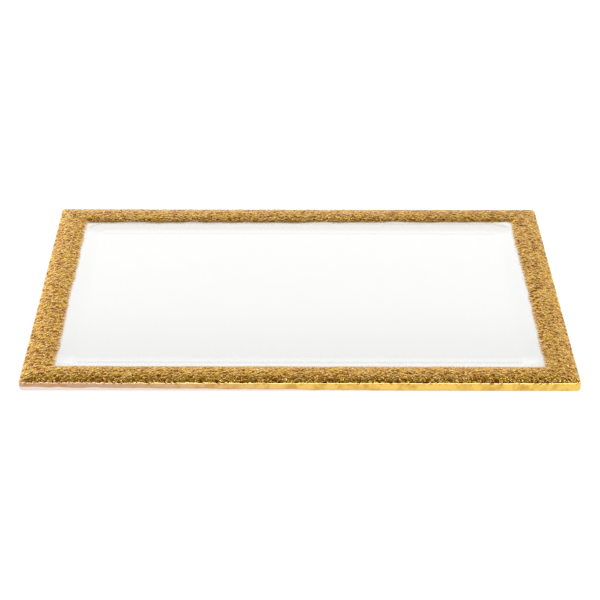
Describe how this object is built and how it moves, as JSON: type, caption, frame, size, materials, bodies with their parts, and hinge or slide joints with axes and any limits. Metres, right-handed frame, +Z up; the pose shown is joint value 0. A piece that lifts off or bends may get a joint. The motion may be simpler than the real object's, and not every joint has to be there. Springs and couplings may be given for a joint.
{
  "type": "dresser vanity tray",
  "caption": "Thin rectangular tray of clear kiln-formed glass with a shallow flat well, a crinkled gold border, a bright gold edge and small clear feet.",
  "frame": {"origin": "middle of the tray's footprint, on the table top", "axes": "+Z up, +X to the right along the long side, -Y towards the user, +Y to the back"},
  "size_m": [0.368, 0.254, 0.0114],
  "materials": {
    "clear_glass": "clear soda-lime float glass, kiln-formed and fire-polished",
    "crinkled_gold": "fired bright gold over a crinkled band of fused glass frit",
    "bright_gold": "fired bright gold over a smooth polished edge",
    "clear_polyurethane": "clear cast polyurethane, glossy dome",
    "acrylic_adhesive": "clear pressure-sensitive acrylic adhesive"
  },
  "bodies": {
    "root": {"glass_tray": "clear_glass", "gilded_border": "crinkled_gold", "gilded_edge": "bright_gold", "bumper_front_left": "clear_polyurethane", "bumper_front_right": "clear_polyurethane", "bumper_back_left": "clear_polyurethane", "bumper_back_right": "clear_polyurethane", "adhesive_front_left": "acrylic_adhesive", "adhesive_front_right": "acrylic_adhesive", "adhesive_back_left": "acrylic_adhesive", "adhesive_back_right": "acrylic_adhesive"}
  },
  "joints": []
}
